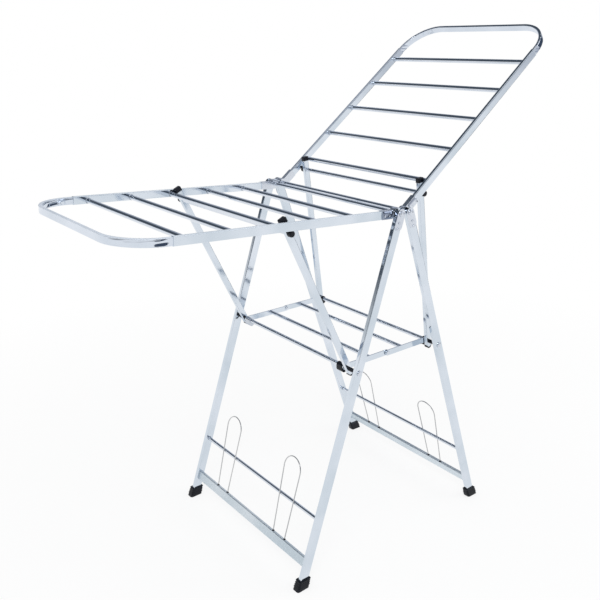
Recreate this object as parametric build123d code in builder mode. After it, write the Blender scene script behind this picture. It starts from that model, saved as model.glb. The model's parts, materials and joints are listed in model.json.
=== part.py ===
"""Folding gull-wing clothes drying rack, standing open.

The frame is millimetres, +Z up, with the origin on the floor midway under the top hinge.
X runs along the wings, with the left wing on -X. Y runs along the rungs, with the near side on -Y.
The left wing lies flat on its brace and the right wing is propped up on its own.
"""

import os
from math import acos, asin, atan2, cos, degrees, hypot, radians, sin, tan

from build123d import *

os.makedirs("parts", exist_ok=True)

# Stance
hinge_height = 930.0
axle_spacing = 30.0
foot_reach = 328.5  # centre of the stand to a leg's axis, at the floor
flat_tilt = radians(3.1)

# Wings
wing_width = 512.0
rail_height = 20.0
rail_depth = 10.0
rail_wall = 0.8
rail_drop = 4.0  # rail's middle below the axle
rail_setback = 12.0  # hinge axle to the rail's inner end
rail_tail = 37.0  # last rung to the rail's outer end
rung_count = 5
rung_start = 109.0  # hinge axle to the first rung
rung_pitch = 113.0
rung_drop = 6.5  # rungs' middle below the axle
rung_diameter = 12.5
rung_wall = 0.8
bow_reach = 110.0  # rail's outer end to the wing's tip
bow_radius = 97.0
bow_wall = 0.8
bow_lap = 35.0  # length of bow pushed into each rail
bow_clearance = 0.1

# Top hinge
axle_diameter = 10.0
axle_wall = 1.5
flange_diameter = 15.0
flange_thickness = 1.5
running_clearance = 0.05
side_gap = 1.2
link_thickness = 3.0
link_diameter = 24.0
saddle_wall = 1.5
saddle_reach = 46.0  # hinge axle to the saddle's outer end
saddle_nose = 12.0

# Leg frames
leg_width = 24.0
leg_depth = 12.0
leg_wall = 0.8
plate_thickness = 2.0
plate_length = 30.0
rivet_diameter = 7.0
rivet_height = 1.8
rivet_spacing = 14.0
foot_wall = 2.5
foot_grip = 36.0
foot_flare = 4.0
foot_height = 25.0
sole_thickness = 4.0
foot_clearance = 0.1
crossbar_height = 26.0
crossbar_depth = 10.0
crossbar_rise = 62.0
leg_rung_diameter = 10.0
leg_rung_rise = 175.5
hook_wire = 3.0
hook_foot_gap = 50.0
hook_width = 68.0
hook_height = 223.0
hook_lean = radians(14.9)
hook_place = 140.0
hook_depth = 6.0
hook_clearance = 0.5

# Braces
pivot_drop = 403.5  # hinge axle to the shelf pivot, along the leg
pivot_diameter = 8.0
pivot_sleeve_diameter = 11.0  # tube on the pivot rod between the knobs
rod_wall = 1.0
arm_width = 16.0
arm_depth = 11.0
arm_wall = 0.8
arm_gap = 7.0  # rail's inner face to the arm
tip_reach = 34.0  # cross-rod to the arm's upper end
tip_cap_wall = 1.2
tip_cap_grip = 7.0
tip_cap_crown = 5.0
heel_drop = 9.0  # pivot to the middle of the arm's rounded heel
heel_cap = 4.5
cap_clearance = 0.1
brace_rod_diameter = 11.0
rod_cap_diameter = 15.0
rod_cap_setback = 5.0  # rail's outer face to the cap's end
rod_cap_wall = 2.0
rod_cap_round = 2.5
rest_clearance = 0.3  # cap to the rail that lies on it
flat_catch_count = 3  # rungs from the hinge to the one the flat wing's brace stands behind
catch_gap_flat = 2.5
raised_catch_count = 1
catch_gap_raised = 2.6
bush_diameter = 10.5
bush_play = 0.3
knob_diameter = 16.0
knob_hang = 8.0  # knob's lower round below the pivot
knob_length = {-1: 22.0, 1: 6.0}

# Shelf
shelf_rail_height = 15.0
shelf_rail_depth = 3.0
shelf_rail_gap = 1.6  # arm's inner face to the outer shelf rail
shelf_lap_gap = 1.0
shelf_rod_diameter = 11.0
shelf_rod_place = 56.0  # middle of the shelf to its inner rods
lap_rivet_diameter = 12.0
lap_rivet_height = 2.0

left, right = -1, 1
near, far = -1, 1
side_names = {left: "left", right: "right"}
row_names = {near: "near", far: "far"}

# Places across the rack, measured out from its middle plane
axle_x = axle_spacing / 2
rail_outer = wing_width / 2
rail_inner = rail_outer - rail_depth
rod_cap_end = rail_outer - rod_cap_setback
link_inner = rail_outer + saddle_wall + side_gap
leg_inner = link_inner + link_thickness + side_gap
leg_outer = leg_inner + leg_depth
plate_outer = leg_outer + plate_thickness
arm_outer = rail_inner - arm_gap
arm_inner = arm_outer - arm_depth
shelf_outer = {right: arm_inner - shelf_rail_gap}
shelf_outer[left] = shelf_outer[right] - shelf_rail_depth - shelf_lap_gap

# Places along a wing, measured out from its axle
rail_end = rung_start + (rung_count - 1) * rung_pitch + rail_tail
rail_top = rail_height / 2 - rail_drop
rail_bottom = -rail_height / 2 - rail_drop
rod_rise = rail_bottom - rod_cap_diameter / 2 - rest_clearance

# Lean of the legs, and the shelf pivots on them
lean = atan2(foot_reach - axle_x, hinge_height)
leg_run = hinge_height / cos(lean)
pivot_x = axle_x + pivot_drop * sin(lean)
pivot_z = hinge_height - pivot_drop * cos(lean)


def rung_place(number):
    """Distance along a wing from its axle to a rung, counted from the hinge."""
    return rung_start + (number - 1) * rung_pitch


def catch_offset(gap):
    """Distance from an arm's axis to the middle of the rung that it stands behind."""
    return arm_width / 2 + rung_diameter / 2 + gap


def flat_brace():
    """Outward lean of the brace under the flat wing, and its length from pivot to cross-rod."""
    catch = rung_place(flat_catch_count)
    run = axle_x + catch * cos(flat_tilt) + rung_drop * sin(flat_tilt) - pivot_x
    rise = hinge_height + catch * sin(flat_tilt) - rung_drop * cos(flat_tilt) - pivot_z
    swing = atan2(run, rise) - asin(catch_offset(catch_gap_flat) / hypot(run, rise))
    drop = (pivot_x - axle_x) * sin(flat_tilt) + (hinge_height - pivot_z) * cos(flat_tilt)
    return swing, (rod_rise + drop) / cos(swing + flat_tilt)


def raised_brace(reach):
    """Tilt of the raised wing and lean of its brace, by halving the arm's angle to the wing."""
    catch = rung_place(raised_catch_count)
    offset = catch_offset(catch_gap_raised)

    def pivot_from_wing(angle):
        rod_along = catch - (offset - (rung_drop + rod_rise) * sin(angle)) / cos(angle)
        return rod_along - reach * sin(angle), rod_rise - reach * cos(angle)

    low, high = radians(5), radians(60)
    for _ in range(60):
        middle = (low + high) / 2
        if hypot(*pivot_from_wing(middle)) > pivot_drop:
            low = middle
        else:
            high = middle
    along, rise = pivot_from_wing(low)
    tilt = atan2(pivot_z - hinge_height, pivot_x - axle_x) - atan2(rise, along)
    return tilt, low - tilt


flat_swing, brace_reach = flat_brace()
raised_tilt, raised_swing = raised_brace(brace_reach)
wing_tilt = {left: flat_tilt, right: raised_tilt}
brace_swing = {left: flat_swing, right: raised_swing}
print(f"leg lean {degrees(lean):.3f} deg, pivot x {pivot_x:.3f} z {pivot_z:.3f}")
print(f"raised tilt {degrees(raised_tilt):.3f}, brace reach {brace_reach:.3f} mm")
print(f"brace lean flat {degrees(flat_swing):.3f}, raised {degrees(raised_swing):.3f} deg")


def outward(side, tilt):
    """Direction away from the rack's middle, turned up by tilt."""
    return Vector(side * cos(tilt), 0, sin(tilt))


def upward(side, tilt):
    """Direction square to outward, pointing up."""
    return Vector(-side * sin(tilt), 0, cos(tilt))


def spot(side, x, z, tilt, out=0.0, up=0.0, y=0.0):
    """A point given by its distances from the corner (x, z) in a tilted frame."""
    return Vector(side * x, y, z) + outward(side, tilt) * out + upward(side, tilt) * up


def side_plane(side, origin, tilt):
    """Plane seen from the rack's side, with local x outward and local y upward."""
    return Plane(origin=origin, x_dir=outward(side, tilt), z_dir=(0, -side, 0))


def away(side, row, depth):
    """Signed length that pushes a side_plane sketch by depth, away from the middle plane."""
    return -side * row * depth


def save(piece, name):
    piece.part.label = name
    export_step(piece.part, f"parts/{name}.step")


def tube_section(width, depth, wall, corner):
    """Hollow rectangle with rounded corners, drawn in the current sketch."""
    RectangleRounded(width, depth, corner)
    RectangleRounded(width - 2 * wall, depth - 2 * wall, corner - wall / 2, mode=Mode.SUBTRACT)


def rod_section(diameter):
    """Ring of a thin round tube, drawn in the current sketch."""
    Circle(diameter / 2)
    Circle(diameter / 2 - rod_wall, mode=Mode.SUBTRACT)


tube_corner = 2.0
arm_corner = 1.6


def axle_of(side):
    """Tube that carries one wing and one leg frame, with its ends rolled over."""
    end = plate_outer + bush_play
    origin = spot(side, axle_x, hinge_height, 0)
    with BuildPart() as axle:
        with BuildSketch(side_plane(side, origin, 0)):
            Circle(axle_diameter / 2)
        extrude(amount=end + flange_thickness, both=True)
        for row in (near, far):
            with BuildSketch(side_plane(side, origin + Vector(0, row * end, 0), 0)):
                Circle(flange_diameter / 2)
            extrude(amount=away(side, row, flange_thickness))
        with BuildSketch(side_plane(side, origin, 0)):
            Circle(axle_diameter / 2 - axle_wall)
        extrude(amount=end + flange_thickness, both=True, mode=Mode.SUBTRACT)
    return axle


def link_plate(row):
    """Flat link that holds the two axles apart, between the wings and the legs."""
    origin = Vector(0, row * link_inner, hinge_height)
    with BuildPart() as link:
        with BuildSketch(side_plane(right, origin, 0)):
            SlotCenterToCenter(axle_spacing, link_diameter)
            with GridLocations(axle_spacing, 0, 2, 1):
                Circle(axle_diameter / 2 + running_clearance, mode=Mode.SUBTRACT)
        extrude(amount=away(right, row, link_thickness))
        fillet(link.faces().filter_by(Axis.Y).edges(), link_thickness / 8)
    return link


def leg_spot(side, drop, out=0.0, y=0.0):
    """Point on a leg frame, drop below the axle along the leg."""
    return spot(side, axle_x, hinge_height, lean, out, -drop, y)


leg_end = leg_run - leg_width / 2 * tan(lean) - sole_thickness / cos(lean)


def leg_of(side, row):
    """Flat tube with a rounded top on the axle and a square end in its foot."""
    middle = row * (leg_inner + leg_depth / 2)
    with BuildPart() as leg:
        foot_plane = Plane(leg_spot(side, leg_end, 0, middle), outward(side, lean), upward(side, lean))
        with BuildSketch(foot_plane):
            tube_section(leg_width, leg_depth, leg_wall, tube_corner)
        extrude(amount=leg_end + leg_width / 2)
        with BuildSketch(side_plane(side, leg_spot(side, 0, 0, middle), lean)):
            Circle(leg_width / 2)
            with Locations((0, -leg_end / 2)):
                Rectangle(leg_width, leg_end)
        extrude(amount=leg_depth, both=True, mode=Mode.INTERSECT)
        with BuildSketch(side_plane(side, leg_spot(side, 0, 0, middle), lean)):
            Circle(axle_diameter / 2 + running_clearance)
            with Locations((0, -pivot_drop)):
                Circle(pivot_diameter / 2 + running_clearance)
        extrude(amount=leg_depth, both=True, mode=Mode.SUBTRACT)
    return leg


def hinge_plates_of(side):
    """Stamped plates that face the tops of the two legs of one frame."""
    with BuildPart() as plates:
        for row in (near, far):
            with BuildSketch(side_plane(side, leg_spot(side, 0, 0, row * leg_outer), lean)):
                Circle(leg_width / 2)
                with Locations((0, -plate_length / 2)):
                    Rectangle(leg_width, plate_length)
                with Locations((0, -plate_length)):
                    Circle(leg_width / 2)
                Circle(axle_diameter / 2 + running_clearance, mode=Mode.SUBTRACT)
            extrude(amount=away(side, row, plate_thickness))
    return plates


def hinge_rivets_of(side):
    """Domed rivets that hold the plates to the legs."""
    with BuildPart() as rivets:
        for row in (near, far):
            with BuildSketch(side_plane(side, leg_spot(side, plate_length, 0, row * plate_outer), lean)):
                with GridLocations(0, rivet_spacing, 1, 2):
                    Circle(rivet_diameter / 2)
            extrude(amount=away(side, row, rivet_height))
        crowns = rivets.faces().filter_by(Axis.Y).group_by(Axis.Y)
        fillet(crowns[0].edges() + crowns[-1].edges(), rivet_height * 0.7)
    return rivets


def foot_of(side, row):
    """Flared plastic cup on the leg's end, cut level at the floor and at its rim."""
    middle = row * (leg_inner + leg_depth / 2)
    cup_top = leg_end - foot_grip
    with BuildPart() as foot:
        top_plane = Plane(leg_spot(side, cup_top, 0, middle), outward(side, lean), upward(side, lean))
        cup_depth = leg_run - cup_top + leg_width * tan(lean)
        with BuildSketch(top_plane):
            RectangleRounded(leg_width + 2 * foot_wall, leg_depth + 2 * foot_wall, foot_wall)
        with BuildSketch(top_plane.offset(-cup_depth)):
            wide = leg_width + 2 * foot_wall + 2 * foot_flare
            RectangleRounded(wide, leg_depth + 2 * foot_wall + 2 * foot_flare, foot_wall + foot_flare)
        loft()
        split(bisect_by=Plane.XY, keep=Keep.TOP)
        split(bisect_by=Plane.XY.offset(foot_height), keep=Keep.BOTTOM)
        with BuildSketch(top_plane):
            RectangleRounded(leg_width + 2 * foot_clearance, leg_depth + 2 * foot_clearance, tube_corner)
        extrude(amount=-foot_grip, mode=Mode.SUBTRACT)
    return foot


crossbar_drop = (hinge_height - crossbar_rise) / cos(lean)


def hook_plane(side, y):
    """Plane of a shoe hook, with local x along the crossbar, standing on the bar's top."""
    base = leg_spot(side, crossbar_drop - crossbar_height / 2, 0, y)
    return Plane(base, x_dir=(0, 1, 0), z_dir=(cos(hook_lean), 0, side * sin(hook_lean)))


def crossbar_of(side):
    """Flat tube between the legs, drilled on top for the shoe hooks."""
    with BuildPart() as bar:
        with BuildSketch(side_plane(side, leg_spot(side, crossbar_drop), lean)):
            tube_section(crossbar_depth, crossbar_height, leg_wall, tube_corner)
        extrude(amount=leg_inner, both=True)
        for row in (near, far):
            plane = hook_plane(side, row * hook_place)
            bore_plane = Plane(plane.origin, x_dir=plane.x_dir, z_dir=plane.y_dir)
            with BuildSketch(bore_plane):
                with GridLocations(hook_foot_gap, 0, 2, 1):
                    Circle(hook_wire / 2 + hook_clearance)
            extrude(amount=crossbar_height / 2, both=True, mode=Mode.SUBTRACT)
    return bar


def leg_rung_of(side):
    """Thin rod between the legs above the crossbar."""
    drop = (hinge_height - leg_rung_rise) / cos(lean)
    with BuildPart() as rung:
        with BuildSketch(side_plane(side, leg_spot(side, drop), lean)):
            rod_section(leg_rung_diameter)
        extrude(amount=leg_inner, both=True)
    return rung


def shoe_hook_of(side, row):
    """Wire loop whose straight legs run tangent to its round top."""
    radius = hook_width / 2
    crown = hook_height - radius
    foot = hook_foot_gap / 2
    bearing = atan2(-crown - hook_depth, foot) + acos(radius / hypot(foot, crown + hook_depth))
    touch_x = radius * cos(bearing)
    touch_y = crown + radius * sin(bearing)
    plane = hook_plane(side, row * hook_place)
    with BuildPart() as hook:
        with BuildLine(plane) as wire:
            Line((-foot, -hook_depth), (-touch_x, touch_y))
            ThreePointArc((-touch_x, touch_y), (0, hook_height), (touch_x, touch_y))
            Line((touch_x, touch_y), (foot, -hook_depth))
        with BuildSketch(Plane(wire.line @ 0, z_dir=wire.line % 0)):
            Circle(hook_wire / 2)
        sweep()
    return hook


def shelf_pivot_of(side):
    """Rod through both legs that the brace and half of the shelf turn on, sleeved between the knobs."""
    end = leg_outer + bush_play
    sleeve_end = shelf_outer[side] - shelf_rail_depth - knob_length[side] - 2 * bush_play
    origin = spot(side, pivot_x, pivot_z, 0)
    with BuildPart() as rod:
        with BuildSketch(side_plane(side, origin, 0)):
            Circle(pivot_diameter / 2)
        extrude(amount=end + flange_thickness, both=True)
        with BuildSketch(side_plane(side, origin, 0)):
            Circle(pivot_sleeve_diameter / 2)
        extrude(amount=sleeve_end, both=True)
        for row in (near, far):
            with BuildSketch(side_plane(side, origin + Vector(0, row * end, 0), 0)):
                Circle(flange_diameter / 2)
            extrude(amount=away(side, row, flange_thickness))
        with BuildSketch(side_plane(side, origin, 0)):
            Circle(pivot_diameter / 2 - rod_wall)
        extrude(amount=end + flange_thickness, both=True, mode=Mode.SUBTRACT)
    return rod


def pivot_bushes_of(side):
    """Plastic spacers on the pivot rod at each brace arm, and hanging knobs inside the shelf rails."""
    spans = [
        (arm_outer + bush_play, leg_inner),
        (shelf_outer[side] + bush_play, arm_inner - bush_play),
    ]
    with BuildPart() as bushes:
        for row in (near, far):
            for inner, outer in spans:
                origin = spot(side, pivot_x, pivot_z, 0, y=row * inner)
                with BuildSketch(side_plane(side, origin, 0)):
                    Circle(bush_diameter / 2)
                    Circle(pivot_diameter / 2 + running_clearance, mode=Mode.SUBTRACT)
                extrude(amount=away(side, row, outer - inner))
            knob_end = shelf_outer[side] - shelf_rail_depth - bush_play
            origin = spot(side, pivot_x, pivot_z, 0, y=row * knob_end)
            with BuildSketch(side_plane(side, origin, 0)):
                with Locations((0, -knob_hang / 2)):
                    SlotCenterToCenter(knob_hang, knob_diameter, rotation=90)
                Circle(pivot_diameter / 2 + running_clearance, mode=Mode.SUBTRACT)
            extrude(amount=away(side, row, -knob_length[side]))
    return bushes


def wing_spot(side, out, up=0.0, y=0.0):
    """Point on a wing, out from its axle and up square to it."""
    return spot(side, axle_x, hinge_height, wing_tilt[side], out, up, y)


def wing_rail_of(side, row):
    """Straight flat tube along one edge of a wing."""
    start = wing_spot(side, rail_setback, -rail_drop, row * (rail_outer - rail_depth / 2))
    with BuildPart() as rail:
        with BuildSketch(Plane(start, x_dir=(0, 1, 0), z_dir=outward(side, wing_tilt[side]))):
            tube_section(rail_depth, rail_height, rail_wall, tube_corner)
        extrude(amount=rail_end - rail_setback)
    return rail


def end_bow_of(side):
    """Bent flat tube that closes the wing's outer end and plugs into both rails."""
    width = rail_depth - 2 * rail_wall - 2 * bow_clearance
    height = rail_height - 2 * rail_wall - 2 * bow_clearance
    half = rail_outer - rail_depth / 2
    start = rail_end - bow_lap
    tip = rail_end + bow_reach - width / 2
    tilt = wing_tilt[side]
    plane = Plane(wing_spot(side, 0, -rail_drop), outward(side, tilt), upward(side, tilt))
    with BuildPart() as bow:
        with BuildLine(plane) as path:
            FilletPolyline((start, -half), (tip, -half), (tip, half), (start, half), radius=bow_radius)
        with BuildSketch(Plane(path.line @ 0, x_dir=(0, 1, 0), z_dir=path.line % 0)):
            tube_section(width, height, bow_wall, tube_corner)
        sweep()
    return bow


def wing_rung_of(side, number):
    """Thin tube between the rails."""
    with BuildPart() as rung:
        with BuildSketch(side_plane(side, wing_spot(side, rung_place(number), -rung_drop), wing_tilt[side])):
            Circle(rung_diameter / 2)
            Circle(rung_diameter / 2 - rung_wall, mode=Mode.SUBTRACT)
        extrude(amount=rail_inner, both=True)
    return rung


def wing_saddles_of(side):
    """Folded sheet saddles over the rails' inner ends, bored for the axle."""
    top = rail_top + saddle_wall
    with BuildPart() as saddles:
        for row in (near, far):
            origin = wing_spot(side, 0, 0, row * (rail_inner - saddle_wall))
            with BuildSketch(side_plane(side, origin, wing_tilt[side])):
                with Locations((saddle_reach / 2, (top + rail_bottom) / 2)):
                    Rectangle(saddle_reach, top - rail_bottom)
                Circle(saddle_nose)
            extrude(amount=away(side, row, rail_depth + 2 * saddle_wall))
            inside = wing_spot(side, 0, 0, row * rail_inner)
            with BuildSketch(side_plane(side, inside, wing_tilt[side])):
                with Locations((saddle_reach / 2 - saddle_nose, rail_bottom)):
                    Rectangle(saddle_reach + 4 * saddle_nose, 2 * (rail_top - rail_bottom))
            extrude(amount=away(side, row, rail_depth), mode=Mode.SUBTRACT)
        with BuildSketch(side_plane(side, wing_spot(side, 0), wing_tilt[side])):
            Circle(axle_diameter / 2 + running_clearance)
        extrude(amount=wing_width, both=True, mode=Mode.SUBTRACT)
    return saddles


def arm_spot(side, up, y=0.0):
    """Point on a brace, up its arm from the pivot."""
    return spot(side, pivot_x, pivot_z, -brace_swing[side], 0, up, y)


def arm_plane(side, up, y):
    """Plane across a brace arm."""
    swing = brace_swing[side]
    return Plane(arm_spot(side, up, y), outward(side, -swing), upward(side, -swing))


arm_top = brace_reach + tip_reach


def brace_arm_of(side, row):
    """Flat tube from the shelf pivot up past the wing's rungs, with a rounded heel."""
    middle = row * (arm_outer - arm_depth / 2)
    with BuildPart() as arm:
        with BuildSketch(arm_plane(side, -heel_drop - arm_width / 2, middle)):
            tube_section(arm_width, arm_depth, arm_wall, arm_corner)
        extrude(amount=arm_top + heel_drop + arm_width / 2)
        view = side_plane(side, arm_spot(side, 0, middle), -brace_swing[side])
        with BuildSketch(view):
            with Locations((0, -heel_drop)):
                Circle(arm_width / 2)
            with Locations((0, (arm_top - heel_drop) / 2)):
                Rectangle(arm_width, arm_top + heel_drop)
        extrude(amount=arm_depth, both=True, mode=Mode.INTERSECT)
        with BuildSketch(view):
            Circle(pivot_diameter / 2 + running_clearance)
            with Locations((0, brace_reach)):
                Circle(brace_rod_diameter / 2 + running_clearance)
        extrude(amount=arm_depth, both=True, mode=Mode.SUBTRACT)
    return arm


def brace_rod_of(side):
    """Rod that joins the two arms and carries the wing's rails on its capped ends."""
    with BuildPart() as rod:
        with BuildSketch(side_plane(side, arm_spot(side, brace_reach), -brace_swing[side])):
            rod_section(brace_rod_diameter)
        extrude(amount=rod_cap_end - rod_cap_wall, both=True)
    return rod


def brace_caps_of(side):
    """Plastic caps on the arms' tips and heels and on the rod's ends."""
    tilt = -brace_swing[side]
    with BuildPart() as caps:
        for row in (near, far):
            middle = row * (arm_outer - arm_depth / 2)
            with BuildSketch(arm_plane(side, arm_top - tip_cap_grip, middle)):
                wide = arm_width + 2 * tip_cap_wall
                RectangleRounded(wide, arm_depth + 2 * tip_cap_wall, arm_corner + tip_cap_wall)
            extrude(amount=tip_cap_grip + tip_cap_crown)
            crown = caps.faces().sort_by(Axis(arm_spot(side, 0), upward(side, tilt)))[-2:]
            if row == far:
                fillet(crown.edges(), tip_cap_crown * 0.5)
        for row in (near, far):
            middle = row * (arm_outer - arm_depth / 2)
            with BuildSketch(arm_plane(side, arm_top - tip_cap_grip, middle)):
                RectangleRounded(arm_width + 2 * cap_clearance, arm_depth + 2 * cap_clearance, arm_corner)
            extrude(amount=tip_cap_grip, mode=Mode.SUBTRACT)
        for row in (near, far):
            start = arm_outer + bush_play
            with BuildSketch(side_plane(side, arm_spot(side, brace_reach, row * start), tilt)):
                Circle(rod_cap_diameter / 2)
            extrude(amount=away(side, row, rod_cap_end - start))
            ends = caps.faces().filter_by(Axis.Y).sort_by(Axis.Y)
            fillet((ends[0] if row == near else ends[-1]).edges(), rod_cap_round)
        with BuildSketch(side_plane(side, arm_spot(side, brace_reach), tilt)):
            Circle(brace_rod_diameter / 2 + running_clearance)
        extrude(amount=rod_cap_end - rod_cap_wall, both=True, mode=Mode.SUBTRACT)
        for row in (near, far):
            inside = arm_spot(side, -heel_drop, row * arm_inner)
            with BuildSketch(side_plane(side, inside, tilt)):
                with Locations((0, -heel_cap)):
                    Circle(arm_width / 2)
                Circle(arm_width / 2 + running_clearance, mode=Mode.SUBTRACT)
                with Locations((0, arm_width / 4)):
                    Rectangle(2 * arm_width, arm_width, mode=Mode.SUBTRACT)
            extrude(amount=away(side, row, arm_depth))
    return caps


def shelf_rail_of(side, row):
    """Flat bar from the shelf pivot to the lap joint at the shelf's middle, with its lap rivet."""
    outer = shelf_outer[side]
    lap_face = outer if side == right else outer - shelf_rail_depth
    head = lap_rivet_height if side == right else -lap_rivet_height
    round_end = shelf_rail_height / 2
    with BuildPart() as rail:
        plane = side_plane(side, spot(side, 0, pivot_z, 0, y=row * (outer - shelf_rail_depth)), 0)
        with BuildSketch(plane):
            with Locations((pivot_x / 2, 0)):
                SlotCenterToCenter(pivot_x, 2 * round_end)
            with Locations((pivot_x, 0)):
                Circle(pivot_diameter / 2 + running_clearance, mode=Mode.SUBTRACT)
        extrude(amount=away(side, row, shelf_rail_depth))
        with BuildSketch(side_plane(side, spot(side, 0, pivot_z, 0, y=row * lap_face), 0)):
            Circle(lap_rivet_diameter / 2)
        extrude(amount=away(side, row, head))
    return rail


def shelf_rod_of(side):
    """Rod across one half of the shelf."""
    with BuildPart() as rod:
        with BuildSketch(side_plane(side, spot(side, shelf_rod_place, pivot_z, 0), 0)):
            rod_section(shelf_rod_diameter)
        extrude(amount=shelf_outer[side] - shelf_rail_depth, both=True)
    return rod


for row in (near, far):
    save(link_plate(row), f"{row_names[row]}_link_plate")

for side in (left, right):
    hand = side_names[side]
    save(axle_of(side), f"{hand}_axle")
    save(hinge_plates_of(side), f"{hand}_hinge_plates")
    save(hinge_rivets_of(side), f"{hand}_hinge_rivets")
    save(crossbar_of(side), f"{hand}_crossbar")
    save(leg_rung_of(side), f"{hand}_leg_rung")
    save(shelf_pivot_of(side), f"{hand}_shelf_pivot")
    save(pivot_bushes_of(side), f"{hand}_pivot_bushes")
    save(end_bow_of(side), f"{hand}_end_bow")
    save(wing_saddles_of(side), f"{hand}_wing_saddles")
    save(brace_rod_of(side), f"{hand}_brace_rod")
    save(brace_caps_of(side), f"{hand}_brace_caps")
    save(shelf_rod_of(side), f"{hand}_shelf_rod")
    for number in range(1, rung_count + 1):
        save(wing_rung_of(side, number), f"{hand}_wing_rung_{number}")
    for row in (near, far):
        place = f"{hand}_{row_names[row]}"
        save(leg_of(side, row), f"{place}_leg")
        save(foot_of(side, row), f"{place}_foot")
        save(shoe_hook_of(side, row), f"{place}_shoe_hook")
        save(wing_rail_of(side, row), f"{place}_wing_rail")
        save(brace_arm_of(side, row), f"{place}_brace_arm")
        save(shelf_rail_of(side, row), f"{place}_shelf_rail")
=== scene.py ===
# %% [markdown]
# # A folding clothes drying rack in polished chrome
# The rack is two crossed leg frames, two rung wings on a shared top hinge, a brace under each wing
# and a small folding shelf. All of its tubes, rods and caps come in as solid parts with their joints.
# Here they get their finishes, and the small things that make a welded, riveted, plated rack look real:
# weld beads, rivet heads, rolled lips, plastic collars and grip ribs.

# %% Load the frame
import json

import bmesh
import bpy
import numpy as np
from mathutils import Matrix, Vector


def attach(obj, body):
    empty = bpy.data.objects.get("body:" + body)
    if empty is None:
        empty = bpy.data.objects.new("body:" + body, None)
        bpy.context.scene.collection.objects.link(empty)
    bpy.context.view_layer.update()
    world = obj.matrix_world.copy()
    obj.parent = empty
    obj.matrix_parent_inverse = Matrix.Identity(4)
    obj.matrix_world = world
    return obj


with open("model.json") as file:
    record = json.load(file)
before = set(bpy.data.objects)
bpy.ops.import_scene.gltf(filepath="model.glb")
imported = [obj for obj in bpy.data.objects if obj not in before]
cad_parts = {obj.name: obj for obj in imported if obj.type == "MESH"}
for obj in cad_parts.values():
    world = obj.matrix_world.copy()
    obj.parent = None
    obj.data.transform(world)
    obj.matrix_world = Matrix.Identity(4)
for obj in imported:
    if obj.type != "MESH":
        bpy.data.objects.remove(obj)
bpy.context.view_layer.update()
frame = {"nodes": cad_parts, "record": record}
nodes = frame["nodes"]
record = frame["record"]

# %% [markdown]
# ## The camera
# The picture is taken from the left and a little above the wings, with a normal lens. Its place was worked
# out once from the rungs, rails and feet, so the numbers are simply written down: where it stands, the way
# it looks, and a small shift, because the picture is cropped off centre.

# %% Camera
picture_px, sensor_mm = 600.0, 36.0
focal_px = 738.77
centre_px = 324.91, 292.74
eye = -1.2589, -1.5061, 1.3212
azimuth, elevation, roll = np.radians([-39.26, 18.74, -0.12])
toward_eye = Vector((
    np.sin(azimuth) * np.cos(elevation),
    -np.cos(azimuth) * np.cos(elevation),
    np.sin(elevation),
))
lens_data = bpy.data.cameras.new("photo_camera")
lens_data.sensor_fit = "HORIZONTAL"
lens_data.sensor_width = sensor_mm
lens_data.lens = focal_px * sensor_mm / picture_px
lens_data.shift_x = -(centre_px[0] - picture_px / 2) / picture_px
lens_data.shift_y = (centre_px[1] - picture_px / 2) / picture_px
camera = bpy.data.objects.new("photo_camera", lens_data)
bpy.context.collection.objects.link(camera)
turn = toward_eye.to_track_quat("Z", "Y").to_matrix().to_4x4() @ Matrix.Rotation(roll, 4, "Z")
camera.matrix_world = Matrix.Translation(eye) @ turn
bpy.context.scene.camera = camera
bpy.context.scene.view_settings.view_transform = "Standard"
print("lens", round(lens_data.lens, 2), "mm")

# %% [markdown]
# ## Surfaces from arrays
# Every added piece is a grid of points. Most of them are turned shapes, so one function spins a profile
# about an axis, and another carries a round bead along a closed path. Both take many places at once and
# put all their copies in one mesh, which keeps the object list short.

# %% Grid helpers
def unit(v):
    """Each row divided by its length."""
    v = np.asarray(v, float)
    return v / np.linalg.norm(v, axis=-1, keepdims=True)


def cross_axes(axis):
    """Two unit directions square to each axis: a = axis x helper, b = axis x a."""
    axis = unit(axis)
    helper = np.where(np.abs(axis[..., 2:3]) < 0.9, [[0.0, 0.0, 1.0]], [[1.0, 0.0, 0.0]])
    a = unit(np.cross(axis, helper))
    return axis, a, np.cross(axis, a)


def quads(count, rows, columns, close_rows, close_columns):
    """Corner numbers of the faces of count grids, each rows by columns, closed where asked."""
    i = np.arange(rows if close_rows else rows - 1)
    j = np.arange(columns if close_columns else columns - 1)
    i, j = np.meshgrid(i, j, indexing="ij")
    i2, j2 = (i + 1) % rows, (j + 1) % columns
    one = np.stack([i * columns + j, i2 * columns + j, i2 * columns + j2, i * columns + j2], axis=-1)
    shift = np.arange(count)[:, None, None] * rows * columns
    return (one.reshape(1, -1, 4) + shift).reshape(-1, 4)


def mesh_piece(name, points, faces, body, finish, slot_name):
    """A smooth mesh from arrays, with merged poles and outward faces, that rides on a body."""
    mesh = bpy.data.meshes.new(name)
    mesh.vertices.add(len(points))
    mesh.vertices.foreach_set("co", np.asarray(points, np.float32).ravel())
    mesh.loops.add(faces.size)
    mesh.loops.foreach_set("vertex_index", faces.astype(np.int32).ravel())
    mesh.polygons.add(len(faces))
    mesh.polygons.foreach_set("loop_start", np.arange(0, faces.size, 4, dtype=np.int32))
    mesh.update(calc_edges=True)
    tidy = bmesh.new()
    tidy.from_mesh(mesh)
    bmesh.ops.remove_doubles(tidy, verts=tidy.verts, dist=1e-6)
    bmesh.ops.recalc_face_normals(tidy, faces=tidy.faces)
    tidy.to_mesh(mesh)
    tidy.free()
    mesh.polygons.foreach_set("use_smooth", np.ones(len(mesh.polygons), bool))
    mesh.materials.append(finish)
    piece = bpy.data.objects.new(name, mesh)
    bpy.context.collection.objects.link(piece)
    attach(piece, body)
    print(name, len(mesh.polygons), "faces on", body)


def circle(steps):
    """Angles t of a full turn in even steps."""
    return np.arange(steps) * 2 * np.pi / steps


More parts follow.
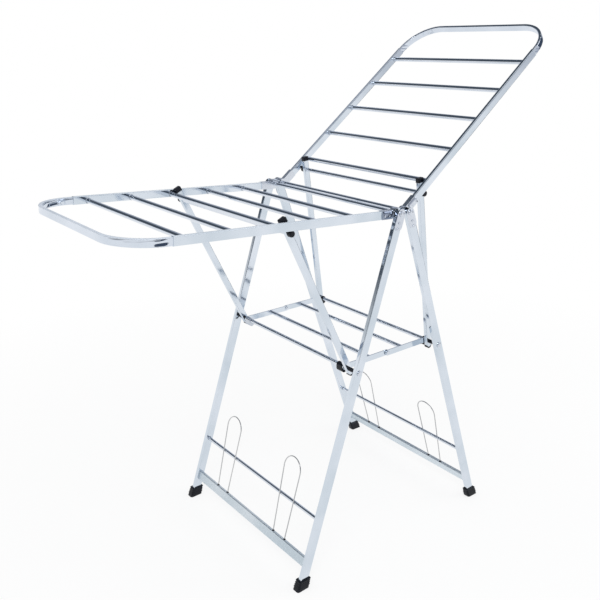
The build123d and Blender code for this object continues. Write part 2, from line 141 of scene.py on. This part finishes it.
def turned(places, axes, profile, steps=28):
    """Spun profile: place + h axis + r (cos t a + sin t b), for the rows (r, h) of the profile."""
    places, profile = np.atleast_2d(places), np.asarray(profile, float)
    axis, a, b = cross_axes(np.broadcast_to(axes, places.shape))
    t = circle(steps)
    ring = np.cos(t)[:, None] * a[:, None, :] + np.sin(t)[:, None] * b[:, None, :]
    r, h = profile[:, 0], profile[:, 1]
    spun = ring[:, :, None, :] * r[None, None, :, None] + axis[:, None, None, :] * h[None, None, :, None]
    spun = spun + places[:, None, None, :]
    return spun.reshape(-1, 3), quads(len(places), steps, len(r), True, False)


def beaded(paths, normals, radius, steps=8):
    """Round bead on closed paths: path + radius (cos t side + sin t normal), side = normal x tangent."""
    tangent = unit(np.roll(paths, -1, axis=1) - np.roll(paths, 1, axis=1))
    normal = np.broadcast_to(unit(normals)[:, None, :], paths.shape)
    side = np.cross(normal, tangent)
    t = circle(steps)
    r = np.broadcast_to(radius, paths.shape[:2])[:, :, None, None]
    swept = np.cos(t)[:, None] * side[:, :, None, :] + np.sin(t)[:, None] * normal[:, :, None, :]
    swept = paths[:, :, None, :] + r * swept
    return swept.reshape(-1, 3), quads(paths.shape[0], paths.shape[1], steps, True, True)


def together(*shapes):
    """Several (points, faces) as one, with the face numbers shifted past the earlier points."""
    starts = np.cumsum([0] + [len(points) for points, _ in shapes[:-1]])
    return np.vstack([p for p, _ in shapes]), np.vstack([f + s for (_, f), s in zip(shapes, starts)])


# %% [markdown]
# ## Chrome
# Chrome has almost no colour of its own. What makes it read as metal is a slightly cool tint, a shine that
# varies a little with handling, the faint waviness of thin rolled tube, and hairline polishing marks.
# So the shader is a full metal. A slow noise bends the surface, a fine one roughens it,
# and a stretched one draws the polishing lines. Where the wing's end is bent round its corners, the thin
# wall buckles a little on the inside, so that piece has its own chrome with a ripple that grows towards
# the corners. The flat wing is the one that laundry is pulled across, so its rails and its end are rubbed
# to a satin on top.

# %% Chrome finishes
def shader(name):
    """New material with its node tree, principled shader and Object coordinates."""
    material = bpy.data.materials.new(name)
    material.use_nodes = True
    tree = material.node_tree
    principled = tree.nodes["Principled BSDF"]
    coords = tree.nodes.new("ShaderNodeTexCoord")
    return material, tree, principled, coords.outputs["Object"]


def noise(tree, where, scale, detail=2.0, stretch=None):
    """Noise on Object coordinates, squeezed by stretch along each axis when given."""
    if stretch is not None:
        mapping = tree.nodes.new("ShaderNodeMapping")
        mapping.inputs["Scale"].default_value = stretch
        tree.links.new(where, mapping.inputs["Vector"])
        where = mapping.outputs["Vector"]
    node = tree.nodes.new("ShaderNodeTexNoise")
    node.inputs["Scale"].default_value = scale
    node.inputs["Detail"].default_value = detail
    tree.links.new(where, node.inputs["Vector"])
    return node.outputs["Fac"]


def spread(tree, value, low, high, start=0.3, end=0.7):
    """Maps the values from start to end onto low to high."""
    node = tree.nodes.new("ShaderNodeMapRange")
    node.inputs["From Min"].default_value = start
    node.inputs["From Max"].default_value = end
    node.inputs["To Min"].default_value = low
    node.inputs["To Max"].default_value = high
    tree.links.new(value, node.inputs["Value"])
    return node.outputs["Result"]


def tints(tree, value, dark, light):
    """Colour from dark at value 0 to light at value 1."""
    node = tree.nodes.new("ShaderNodeMix")
    node.data_type = "RGBA"
    node.inputs[6].default_value = (*dark, 1.0)
    node.inputs[7].default_value = (*light, 1.0)
    tree.links.new(value, node.inputs[0])
    return node.outputs[2]


def bumps(tree, principled, layers):
    """Chained bump nodes, each (height, strength, distance in metres)."""
    previous = None
    for height, strength, distance in layers:
        node = tree.nodes.new("ShaderNodeBump")
        node.inputs["Strength"].default_value = strength
        node.inputs["Distance"].default_value = distance
        tree.links.new(height, node.inputs["Height"])
        if previous is not None:
            tree.links.new(previous, node.inputs["Normal"])
        previous = node.outputs["Normal"]
    tree.links.new(previous, principled.inputs["Normal"])


def bend_ripple(tree, where, start, end):
    """Ripple of a bent tube: noise drawn out along it, times a ramp of |y| from 0 at start to 1 at end."""
    split = tree.nodes.new("ShaderNodeSeparateXYZ")
    tree.links.new(where, split.inputs[0])
    distance = tree.nodes.new("ShaderNodeMath")
    distance.operation = "ABSOLUTE"
    tree.links.new(split.outputs["Y"], distance.inputs[0])
    product = tree.nodes.new("ShaderNodeMath")
    product.operation = "MULTIPLY"
    tree.links.new(spread(tree, distance.outputs["Value"], 0.0, 1.0, start, end), product.inputs[0])
    tree.links.new(noise(tree, where, 60.0, 1.0, (0.25, 0.25, 2.0)), product.inputs[1])
    return product.outputs["Value"]


def rubbed_top(tree, principled, gloss):
    """Roughness with 0.5 more, and 0.85 less metal, where the piece's own normal points up."""
    ramp = 0.1, 0.4
    split = tree.nodes.new("ShaderNodeSeparateXYZ")
    tree.links.new(tree.nodes.new("ShaderNodeTexCoord").outputs["Normal"], split.inputs[0])
    total = tree.nodes.new("ShaderNodeMath")
    total.operation = "ADD"
    tree.links.new(gloss, total.inputs[0])
    tree.links.new(spread(tree, split.outputs["Z"], 0.0, 0.5, *ramp), total.inputs[1])
    tree.links.new(spread(tree, split.outputs["Z"], 1.0, 0.15, *ramp), principled.inputs["Metallic"])
    return total.outputs["Value"]


wave_scale, grain_scale, line_scale = 9.0, 160.0, 420.0
line_depth, ripple_depth = 0.0002, 0.0016
bend_start, bend_end = 0.13, 0.20


def chrome(name, dark, light, gloss, wave, marks, bent=False, rubbed=False):
    """Plated metal: tint from slow noise, roughness from fine noise, waviness and polishing lines as bump."""
    material, tree, principled, where = shader(name)
    principled.inputs["Metallic"].default_value = 1.0
    slow = noise(tree, where, wave_scale)
    fine = noise(tree, where, grain_scale, 4.0)
    lines = noise(tree, where, line_scale, 2.0, marks)
    tree.links.new(tints(tree, spread(tree, slow, 0.0, 1.0), dark, light), principled.inputs["Base Color"])
    roughness = spread(tree, fine, *gloss)
    if rubbed:
        roughness = rubbed_top(tree, principled, roughness)
    tree.links.new(roughness, principled.inputs["Roughness"])
    layers = [(slow, 0.25, wave), (lines, 0.06, line_depth)]
    if bent:
        layers.append((bend_ripple(tree, where, bend_start, bend_end), 0.9, ripple_depth))
    bumps(tree, principled, layers)
    return material


polished = 0.05, 0.11
lengthwise, crosswise, upright, any_way = (1, 0.05, 1), (0.2, 1, 0.2), (1, 1, 0.05), (1, 1, 1)
tube_shades = (0.58, 0.65, 0.72), (0.72, 0.77, 0.84)
bar_shades = (0.58, 0.66, 0.72), (0.70, 0.76, 0.81)
bow_shades = (0.60, 0.66, 0.74), (0.72, 0.77, 0.85)
rod_shades = (0.64, 0.69, 0.76), (0.72, 0.76, 0.83)
hinge_shades = (0.58, 0.62, 0.69), (0.70, 0.74, 0.80)
wire_shades = (0.44, 0.45, 0.46), (0.58, 0.58, 0.58)
# a darker copy of the hinge chrome tint, only for the left saddles: painted shade
shaded_saddle_shades = (0.26, 0.30, 0.38), (0.42, 0.46, 0.55)
weld_shades = (0.34, 0.37, 0.42), (0.52, 0.56, 0.62)
tube_chrome = chrome("tube_chrome", *tube_shades, polished, 0.004, lengthwise)
used_tube_chrome = chrome("used_tube_chrome", *tube_shades, polished, 0.004, lengthwise, rubbed=True)
bar_chrome = chrome("bar_chrome", *bar_shades, (0.40, 0.50), 0.004, lengthwise)
bow_chrome = chrome("bow_chrome", *bow_shades, polished, 0.004, lengthwise, bent=True)
used_bow_chrome = chrome("used_bow_chrome", *bow_shades, polished, 0.004, lengthwise, bent=True, rubbed=True)
rod_chrome = chrome("rod_chrome", *rod_shades, (0.06, 0.12), 0.001, lengthwise)
hinge_chrome = chrome("hinge_chrome", *hinge_shades, (0.14, 0.28), 0.003, crosswise)
wire_chrome = chrome("wire_chrome", *wire_shades, (0.10, 0.20), 0.001, upright)
# the darker saddle chrome is painted shade, not a real duller plating
shaded_saddle_chrome = chrome("shaded_saddle_chrome", *shaded_saddle_shades, (0.08, 0.18), 0.002, crosswise)
weld_metal = chrome("weld_metal", *weld_shades, (0.28, 0.45), 0.001, any_way)
print("chrome finishes made")

# %% [markdown]
# ## Black plastic
# The feet, the caps and the bushes are moulded black plastic. It is never quite black: the mould leaves
# a fine grain, and rubbing makes it a little greyer and glossier in patches. Grain is a bump and the rest
# is noise. One far knob wears a bright sleeve, so it has a finish that changes along Y.

# %% Plastic finish
rub_scale, mould_scale, mould_depth = 38.0, 1500.0, 0.0002
plastic_specular = 0.22
plastic_shades = (0.003, 0.004, 0.008), (0.008, 0.010, 0.017)
sleeve_shade = 0.56, 0.60, 0.66


def moulded(name, dark, light, gloss):
    """Dielectric with a fine mould grain, and a slow change of shade and gloss where it is rubbed."""
    material, tree, principled, where = shader(name)
    rubbed = noise(tree, where, rub_scale, 3.0)
    grain = noise(tree, where, mould_scale)
    tree.links.new(tints(tree, spread(tree, rubbed, 0.0, 1.0), dark, light), principled.inputs["Base Color"])
    tree.links.new(spread(tree, rubbed, *gloss), principled.inputs["Roughness"])
    principled.inputs["Specular IOR Level"].default_value = plastic_specular
    bumps(tree, principled, [(grain, 0.18, mould_depth)])
    return material


def sleeved(name, middle, half):
    """Black plastic with a bright metal sleeve where Y is within half of the middle."""
    material, tree, principled, where = shader(name)
    split = tree.nodes.new("ShaderNodeSeparateXYZ")
    tree.links.new(where, split.inputs[0])
    within = tree.nodes.new("ShaderNodeMath")
    within.operation = "COMPARE"
    within.inputs[1].default_value = middle
    within.inputs[2].default_value = half
    tree.links.new(split.outputs["Y"], within.inputs[0])
    covered = within.outputs["Value"]
    rubbed = spread(tree, noise(tree, where, rub_scale, 3.0), 0.0, 1.0)
    colour = tints(tree, covered, (0.0, 0.0, 0.0), sleeve_shade)
    tree.links.new(tints(tree, rubbed, *plastic_shades), colour.node.inputs[6])
    tree.links.new(colour, principled.inputs["Base Color"])
    tree.links.new(covered, principled.inputs["Metallic"])
    tree.links.new(spread(tree, rubbed, 0.34, 0.20, 0.0, 1.0), principled.inputs["Roughness"])
    principled.inputs["Specular IOR Level"].default_value = plastic_specular
    bumps(tree, principled, [(noise(tree, where, mould_scale), 0.12, mould_depth)])
    return material


black_plastic = moulded("black_plastic", *plastic_shades, (0.36, 0.22))
sleeved_knob = sleeved("sleeved_knob", 0.2078, 0.0116)
finishes = {
    "chrome_tube": tube_chrome,
    "chrome_rod": rod_chrome,
    "hinge_metal": hinge_chrome,
    "wire": wire_chrome,
    "black_plastic": black_plastic,
}
own_finishes = {
    "left_near_wing_rail": used_tube_chrome,
    "left_far_wing_rail": used_tube_chrome,
    "left_end_bow": used_bow_chrome,
    "right_end_bow": bow_chrome,
    "crossbar": bar_chrome,
    "left_pivot_bushes": sleeved_knob,
}
for entry in record["subparts"]:
    mesh = nodes[entry["node"]].data
    mesh.materials.clear()
    own = [finish for ending, finish in own_finishes.items() if entry["node"].endswith(ending)]
    mesh.materials.append(own[0] if own else finishes[entry["material_slot"]])
print("finished nodes", len(record["subparts"]))

# %% [markdown]
# ## The rack's own measures
# The added pieces have to sit on the tubes, so the few lengths that place them are repeated here in metres:
# the hinge, the lean of the legs, the tilt of each wing and the distances across the rack. Each side has
# its own outward and upward direction, because the wings and legs lean different ways.

# %% Measures
hinge_z, axle_x, foot_x = 0.930, 0.015, 0.3285
lean = np.arctan2(foot_x - axle_x, hinge_z)
tilt = {"left": np.radians(3.1), "right": np.radians(37.884)}
brace_lean = {"left": np.radians(25.441), "right": np.radians(-7.168)}
sign = {"left": -1.0, "right": 1.0}
pivot_drop = 0.4035
pivot = np.array([axle_x + pivot_drop * np.sin(lean), hinge_z - pivot_drop * np.cos(lean)])
top_hinge = (axle_x, hinge_z)
rail_in, rail_out = 0.246, 0.256
leg_in, leg_out = 0.2629, 0.2749
arm_middle = 0.2335
brace_reach = 0.417734
rung_start, rung_spacing, rung_count, rung_sink = 0.109, 0.113, 5, 0.0065
rail_end, rail_sink = 0.598, 0.004
leg_rung_rise, crossbar_rise = 0.1755, 0.062
bite = 0.0002


def tilted(side, corner, angle, out, up, y):
    """Rows (x, y, z) of corner + out outward + up upward, where outward is turned up by the angle."""
    s = sign[side]
    out, up, y = np.broadcast_arrays(*[np.asarray(part, float) for part in (out, up, y)])
    x = corner[0] + out * np.cos(angle) - up * np.sin(angle)
    z = corner[1] + out * np.sin(angle) + up * np.cos(angle)
    return np.stack([s * x, y, z], axis=-1)


def facing(side, angle, out, up):
    """Direction with those outward and upward parts."""
    return tilted(side, (0.0, 0.0), angle, out, up, 0.0)


def on_wing(side, out, up, y):
    """Point out along the wing from the top hinge and up square to it."""
    return tilted(side, top_hinge, tilt[side], out, up, y)


def on_leg(side, drop, out, y):
    """Point down the leg by drop from the top hinge and out square to it."""
    return tilted(side, top_hinge, lean, out, -np.asarray(drop, float), y)


def on_arm(side, up, out, y):
    """Point up the brace arm from the shelf pivot and out square to it."""
    return tilted(side, pivot, -brace_lean[side], out, up, y)


print("leg lean", round(np.degrees(lean), 2), "pivot", np.round(pivot, 4))

# %% [markdown]
# ## Weld beads
# Each rung is welded to the inner faces of its rails, and plating leaves the weld as a small uneven ring.
# A ring could be a torus, but a weld swells and shrinks as it goes round, so the bead's radius follows
# two waves along the ring. The thin leg rung gets the same.

# %% Weld beads
ring_steps = 48


def ring_paths(places, axis, radius):
    """Circles about an axis: place + radius (cos t a + sin t b)."""
    places = np.atleast_2d(places)
    _, a, b = cross_axes(np.broadcast_to(axis, places.shape))
    t = circle(ring_steps)
    return places[:, None, :] + radius * (np.cos(t)[:, None] * a[:, None] + np.sin(t)[:, None] * b[:, None])


def weld_radius(count, mean):
    """Bead radius: mean (1 + 0.22 sin(5 t + phase) + 0.12 sin(11 t + 2 phase)), with a phase per ring."""
    t = circle(ring_steps)
    phase = np.arange(count)[:, None] * 1.7
    return mean * (1 + 0.22 * np.sin(5 * t + phase) + 0.12 * np.sin(11 * t + 2 * phase))


y_axis = np.array([0.0, 1.0, 0.0])
both = np.array([-1.0, 1.0])
rung_spots = rung_start + np.arange(rung_count) * rung_spacing
for side in ("left", "right"):
    along, across = np.meshgrid(rung_spots, both * (rail_in - bite), indexing="ij")
    paths = ring_paths(on_wing(side, along.ravel(), -rung_sink, across.ravel()), y_axis, 0.0064)
    beads = beaded(paths, np.tile(y_axis, (len(paths), 1)), weld_radius(len(paths), 0.0011))
    mesh_piece(f"{side}_rung_welds", *beads, f"{side}_wing", weld_metal, "chrome_rod")
    drop = (hinge_z - leg_rung_rise) / np.cos(lean)
    paths = ring_paths(on_leg(side, drop, 0.0, both * (leg_in - bite)), y_axis, 0.0052)
    beads = beaded(paths, np.tile(y_axis, (2, 1)), weld_radius(2, 0.0010))
    mesh_piece(f"{side}_leg_rung_welds", *beads, f"{side}_legs", weld_metal, "chrome_rod")

# %% [markdown]
# ## Lips on flat tube
# The crossbar is welded round its flat section, and the rails end in a lip where the bent end slides in.
# Both follow a rounded rectangle, so one function walks round it and returns points at even angles,
# pushed out from four corner centres.

# %% Flat tube lips
def rounded_rectangle(width, height, corner, steps=12):
    """Corner centre + corner (cos t, sin t), a quarter turn at each of the four corners."""
    t = np.linspace(0, np.pi / 2, steps)
    quarter = np.arange(4)[:, None] * np.pi / 2 + t
    centre_x = (width / 2 - corner) * np.array([1, -1, -1, 1])[:, None]
    centre_y = (height / 2 - corner) * np.array([1, 1, -1, -1])[:, None]
    x, y = centre_x + corner * np.cos(quarter), centre_y + corner * np.sin(quarter)
    return np.stack([x, y], -1).reshape(-1, 2)


for side in ("left", "right"):
    outline = rounded_rectangle(0.010, 0.026, 0.002)
    drop = (hinge_z - crossbar_rise) / np.cos(lean)
    loops = np.stack([on_leg(side, drop - outline[:, 1], outline[:, 0], y * (leg_in - bite)) for y in both])
    beads = beaded(loops, np.tile(y_axis, (2, 1)), 0.0009)
    mesh_piece(f"{side}_crossbar_welds", *beads, f"{side}_legs", weld_metal, "chrome_rod")
    outline = rounded_rectangle(0.0094, 0.0194, 0.002)
    middle = (rail_in + rail_out) / 2
    heights = outline[:, 1] - rail_sink
    loops = np.stack([on_wing(side, rail_end, heights, y * middle + outline[:, 0]) for y in both])
    outward = facing(side, tilt[side], 1.0, 0.0)
    beads = beaded(loops, np.tile(outward, (2, 1)), 0.0007)
    mesh_piece(f"{side}_rail_lips", *beads, f"{side}_wing", tube_chrome, "chrome_tube")

# %% [markdown]
# ## Crowned saddles
# The sheet saddles that hold the wings to the axles aren't flat: pressing leaves their outer face swollen,
# which is why they show a dark band above and a bright one below. A pillow is a height over a rectangle,
# steep at the ends and round across, closed by its own flat back.

# %% Crowned saddles
def pillow(side, row, out, up, face, rise, steps=25):
    """Height rise (1 - u^8)^0.5 (1 - v^2)^0.5 over u, v in -1 to 1, above row * face, and its flat back."""
    u, v = np.meshgrid(*[np.sin(np.linspace(-np.pi / 2, np.pi / 2, steps))] * 2, indexing="ij")
    height = rise * np.sqrt(np.clip(1 - u**8, 0, 1) * np.clip(1 - v**2, 0, 1))
    along = np.mean(out) + u * np.ptp(out) / 2
    across = np.mean(up) + v * np.ptp(up) / 2
    shells = [on_wing(side, along, across, row * (face + h)) for h in (height, 0.0 * height)]
    return np.vstack([shell.reshape(-1, 3) for shell in shells]), quads(2, steps, steps, False, False)


saddle_out, saddle_up = (0.0150, 0.0456), (-0.0136, 0.0070)
saddle_face, crown_rise = 0.2574, 0.0040
for side in ("left", "right"):
    crowns = [pillow(side, row, saddle_out, saddle_up, saddle_face, crown_rise) for row in both]
    # the left saddles take the darker chrome as painted shade; the right ones take the plain hinge chrome
    finish = shaded_saddle_chrome if side == "left" else hinge_chrome
    mesh_piece(f"{side}_saddle_crowns", *together(*crowns), f"{side}_wing", finish, "hinge_metal")

# %% [markdown]
# ## Rivet heads
# The axles and pivot rods end in domed heads, and smaller rivets hold the saddles to the rails and the
# shelf's two halves together. A dome is a turned quarter ellipse, closed by a flat back.

# %% Rivet heads
def dome(radius, height, steps=10):
    """Profile rows (r, h): out along the back, then r = radius cos t and h = height sin t to the crown."""
    t = np.linspace(0, np.pi / 2, steps)
    arc = np.stack([radius * np.cos(t), height * np.sin(t)], -1)
    arc[-1, 0] = 0.0
    return np.vstack([[0.0, 0.0], arc])


sides_out = np.stack([np.zeros(2), both, np.zeros(2)], -1)
pin_head, saddle_rivet, lap_head = dome(0.0068, 0.0020), dome(0.0028, 0.0009), dome(0.0052, 0.0013)
axle_end, pivot_end = 0.2785, 0.2765
rivet_spots, rivet_drop, rivet_face = (0.024, 0.039), 0.005, 0.2611
lap_face = {"left": 0.2176, "right": 0.2282}
heads = []
for side in ("left", "right"):
    heads.append(turned(tilted(side, top_hinge, 0.0, 0.0, 0.0, both * axle_end), sides_out, pin_head))
mesh_piece("axle_heads", *together(*heads), "head", hinge_chrome, "hinge_metal")
for side in ("left", "right"):
    ends = turned(tilted(side, pivot, 0.0, 0.0, 0.0, both * pivot_end), sides_out, pin_head)
    mesh_piece(f"{side}_pivot_heads", *ends, f"{side}_legs", hinge_chrome, "hinge_metal")
    along, across = np.meshgrid(rivet_spots, both * rivet_face, indexing="ij")
    spots = on_wing(side, along.ravel(), -rivet_drop, across.ravel())
    rivets = turned(spots, np.tile(sides_out, (2, 1)), saddle_rivet)
    mesh_piece(f"{side}_saddle_rivets", *rivets, f"{side}_wing", hinge_chrome, "hinge_metal")
    laps = tilted(side, (0.0, pivot[1]), 0.0, 0.0, 0.0, both * lap_face[side])
    crowns = turned(laps, sign[side] * sides_out, lap_head)
    mesh_piece(f"{side}_lap_heads", *crowns, f"{side}_shelf", hinge_chrome, "hinge_metal")

# %% [markdown]
# ## Plastic collars and ribs
# Where each hook wire enters the crossbar sits a small black plug. The feet have a rolled rim and grip ribs,
# and the caps on the brace have a ring near the open end. These are all turned shapes or beads.

# %% Collars and ribs
hook_lean = np.radians(14.9)
hook_row, hook_half = 0.140, 0.0252
bar_top = on_leg("right", (hinge_z - crossbar_rise) / np.cos(lean) - 0.013, 0.0, 0.0)
collar = np.array([
    [0.0016, -0.0004], [0.0036, -0.0004], [0.0036, 0.0006],
    [0.0029, 0.0018], [0.0018, 0.0022], [0.0016, 0.0016],
])
wire_y = [row * hook_row + half * hook_half for row in both for half in both]
for side in ("left", "right"):
    spots = np.array([[sign[side] * bar_top[0], y, bar_top[2]] for y in wire_y])
    rise = np.array([-sign[side] * np.sin(hook_lean), 0.0, np.cos(hook_lean)])
    plugs = turned(spots, rise, np.vstack([collar, collar[:1]]))
    mesh_piece(f"{side}_hook_plugs", *plugs, f"{side}_legs", black_plastic, "black_plastic")

leg_half, sole, grip, cup_half, flare_out = 0.012, 0.004, 0.036, 0.024, 0.004
leg_end = hinge_z / np.cos(lean) - leg_half * np.tan(lean) - sole / np.cos(lean)
cup_top = leg_end - grip
cup_depth = hinge_z / np.cos(lean) - cup_top + cup_half * np.tan(lean)
cup_width, cup_thickness, cup_corner = 0.029, 0.017, 0.0025


def foot_loop(side, height, y):
    """Level ring round a foot: the cup's outline, wider by 4 mm over its depth, cut at that height."""
    out, across = rounded_rectangle(cup_width, cup_thickness, cup_corner).T
    depth = (hinge_z + out * np.sin(lean) - height) / np.cos(lean)
    flare = flare_out * (depth - cup_top) / cup_depth
    out, across = out * (1 + flare / (cup_width / 2)), across * (1 + flare / (cup_thickness / 2))
    return on_leg(side, (hinge_z + out * np.sin(lean) - height) / np.cos(lean), out, y + across)


rib_heights, rib_radii = (0.0240, 0.0185, 0.0135, 0.0085), (0.0010, 0.0006, 0.0006, 0.0006)
band_rows, band_radius = (0.2410, 0.2455), 0.0073
tip_rise = 0.0285
for side in ("left", "right"):
    leg_rows = both * (leg_in + leg_out) / 2
    loops = np.stack([foot_loop(side, z, y) for y in leg_rows for z in rib_heights])
    ribs = beaded(loops, np.tile([0.0, 0.0, 1.0], (len(loops), 1)), np.tile(rib_radii, 2)[:, None])
    mesh_piece(f"{side}_foot_ribs", *ribs, f"{side}_legs", black_plastic, "black_plastic")
    rings = [ring_paths(on_arm(side, brace_reach, 0.0, both * y), y_axis, band_radius) for y in band_rows]
    paths = np.vstack(rings)
    bands = beaded(paths, np.tile(y_axis, (len(paths), 1)), 0.0005)
    out, across = rounded_rectangle(0.0182, 0.0132, 0.0028).T
    tips = np.stack([on_arm(side, brace_reach + tip_rise, out, y * arm_middle + across) for y in both])
    collars = beaded(tips, np.tile(facing(side, -brace_lean[side], 0.0, 1.0), (2, 1)), 0.0007)
    trim = together(bands, collars)
    mesh_piece(f"{side}_cap_bands", *trim, f"{side}_brace", black_plastic, "black_plastic")

# %% [markdown]
# ## The studio
# Chrome shows its room, so the room is part of the finish. The floor and the backdrop are white, and the
# floor glows a little of its own, so that it stays white under a plain lamp and still takes a soft shadow.
# A slate wall runs round the set from waist height up, as in a photo studio, and it is only there to be
# reflected: it gives the rungs their dark upper line, while everything that faces the floor stays pale.
# Its lower edge fades to white, because a hard edge would show as a line along every tube, and its right
# half is lighter, because the flat tops of the tubes look that way. Three dark oval cards are there in the
# same way, where the bent corners of the wings look, and each leaves a short dark streak in a bend.

# %% Floor, wall, cards and world
def emitter(tree, colour):
    """Emission shader of one colour at strength 1."""
    node = tree.nodes.new("ShaderNodeEmission")
    node.inputs["Color"].default_value = (*colour, 1.0)
    return node.outputs["Emission"]


def stage_mesh(name, points, faces, finish):
    """Mesh that belongs to the set and not to the rack."""
    mesh = bpy.data.meshes.new(name)
    mesh.from_pydata([tuple(map(float, p)) for p in points], [], [tuple(map(int, f)) for f in faces])
    mesh.materials.append(finish)
    thing = bpy.data.objects.new(name, mesh)
    bpy.context.collection.objects.link(thing)
    return thing


def reflected_only(thing):
    """Leaves the object to be seen in reflections and nowhere else."""
    thing.visible_camera = False
    thing.visible_diffuse = False
    thing.visible_shadow = False
    thing.visible_transmission = False


floor_half = 20.0
floor_glow, glow_start, glow_end = 0.80, 0.6, 2.2
floor_finish, tree, principled, where = shader("floor_white")
principled.inputs["Roughness"].default_value = 0.9
principled.inputs["Specular IOR Level"].default_value = 0.1
mottle = spread(tree, noise(tree, where, 1.5), 0.0, 1.0)
tree.links.new(tints(tree, mottle, (0.95, 0.95, 0.95), (0.97, 0.97, 0.97)), principled.inputs["Base Color"])
distance = tree.nodes.new("ShaderNodeVectorMath")
distance.operation = "LENGTH"
tree.links.new(where, distance.inputs[0])
far_off = spread(tree, distance.outputs["Value"], floor_glow, 1.0, glow_start, glow_end)
blend = tree.nodes.new("ShaderNodeMixShader")
tree.links.new(far_off, blend.inputs["Fac"])
tree.links.new(principled.outputs["BSDF"], blend.inputs[1])
tree.links.new(emitter(tree, (1.0, 1.0, 1.0)), blend.inputs[2])
tree.links.new(blend.outputs["Shader"], tree.nodes["Material Output"].inputs["Surface"])
floor_points = floor_half * np.array([[-1, -1, 0], [1, -1, 0], [1, 1, 0], [-1, 1, 0]])
stage_mesh("floor", floor_points, [[0, 1, 2, 3]], floor_finish)

wall_radius, wall_low, wall_high, wall_steps = 4.0, 0.80, 8.60, 64
dark_slate, light_slate = (0.070, 0.088, 0.110), (0.42, 0.45, 0.52)
wall_finish = bpy.data.materials.new("slate_wall")
wall_finish.use_nodes = True
tree = wall_finish.node_tree
split = tree.nodes.new("ShaderNodeSeparateXYZ")
tree.links.new(tree.nodes.new("ShaderNodeTexCoord").outputs["Object"], split.inputs[0])
climb = spread(tree, split.outputs["Z"], 0.0, 1.0, wall_low, 1.5)
aside = spread(tree, split.outputs["X"], 0.0, 1.0, -0.6, 0.5)
beneath = spread(tree, split.outputs["Z"], 1.0, 0.0, 4.2, 5.4)
side_fade = tree.nodes.new("ShaderNodeMath")
side_fade.operation = "MULTIPLY"
tree.links.new(aside, side_fade.inputs[0])
tree.links.new(beneath, side_fade.inputs[1])
slate = tints(tree, side_fade.outputs["Value"], dark_slate, light_slate)
glow = tree.nodes.new("ShaderNodeEmission")
shade = tints(tree, climb, (1.0, 1.0, 1.0), (0.0, 0.0, 0.0))
tree.links.new(slate, shade.node.inputs[7])
tree.links.new(shade, glow.inputs["Color"])
tree.links.new(glow.outputs["Emission"], tree.nodes["Material Output"].inputs["Surface"])
t = circle(wall_steps)
ring = np.stack([wall_radius * np.cos(t), wall_radius * np.sin(t)], -1)
edges = [np.column_stack([ring, np.full(wall_steps, height)]) for height in (wall_low, wall_high)]
wall_points = np.stack(edges, 1).reshape(-1, 3)
reflected_only(stage_mesh("slate_wall", wall_points, quads(1, wall_steps, 2, True, False), wall_finish))

card_finish = bpy.data.materials.new("dark_card")
card_finish.use_nodes = True
tree = card_finish.node_tree
tree.links.new(emitter(tree, (0.05, 0.07, 0.11)), tree.nodes["Material Output"].inputs["Surface"])
for name, middle, half_width, half_height in (
    ("front_card", (-0.30, -3.2, 0.55), (0.80, 0, 0), (0, 0, 0.50)),
    ("side_card", (3.0, -0.35, 0.40), (0, 1.95, 0), (0, 0, 0.38)),
    ("high_card", (3.5, -0.45, 1.75), (0, 1.25, 0), (0, 0, 0.65)),
):
    points = middle + np.outer(np.cos(t), half_width) + np.outer(np.sin(t), half_height)
    reflected_only(stage_mesh(name, points, [range(len(t))], card_finish))

world = bpy.data.worlds.new("white_room")
bpy.context.scene.world = world
world.use_nodes = True
tree = world.node_tree
ambient = tree.nodes["Background"]
ambient.inputs["Color"].default_value = (0.98, 0.99, 1.0, 1.0)
ambient.inputs["Strength"].default_value = 0.72
seen = tree.nodes.new("ShaderNodeBackground")
seen.inputs["Color"].default_value = (1.0, 1.0, 1.0, 1.0)
light_path = tree.nodes.new("ShaderNodeLightPath")
total = light_path.outputs["Is Camera Ray"]
for kind in ("Is Glossy Ray", "Is Transmission Ray"):
    add = tree.nodes.new("ShaderNodeMath")
    add.operation = "ADD"
    add.use_clamp = True
    tree.links.new(total, add.inputs[0])
    tree.links.new(light_path.outputs[kind], add.inputs[1])
    total = add.outputs["Value"]
mixed = tree.nodes.new("ShaderNodeMixShader")
tree.links.new(total, mixed.inputs["Fac"])
tree.links.new(ambient.outputs["Background"], mixed.inputs[1])
tree.links.new(seen.outputs["Background"], mixed.inputs[2])
tree.links.new(mixed.outputs["Shader"], tree.nodes["World Output"].inputs["Surface"])
print("set: floor, wall, cards, world")

# %% [markdown]
# ## Lights
# Two large soft lamps do the rest: a key from the front left, high up, and a weaker fill from the right.
# They are wide, so the shadow on the floor stays faint, and they add the small bright glints on the
# black caps.

# %% Lamps
def lamp(name, place, size, power):
    """Square area lamp that looks at the rack's middle."""
    data = bpy.data.lights.new(name, "AREA")
    data.shape = "SQUARE"
    data.size = size
    data.energy = power
    thing = bpy.data.objects.new(name, data)
    bpy.context.collection.objects.link(thing)
    aim = Vector((0.0, 0.0, 0.7)) - Vector(place)
    thing.matrix_world = Matrix.Translation(place) @ aim.to_track_quat("-Z", "Y").to_matrix().to_4x4()


lamp("key_lamp", (-2.2, -2.6, 3.6), 2.0, 55.0)
lamp("fill_lamp", (3.0, -2.0, 2.6), 2.2, 25.0)
print("lamps ready")
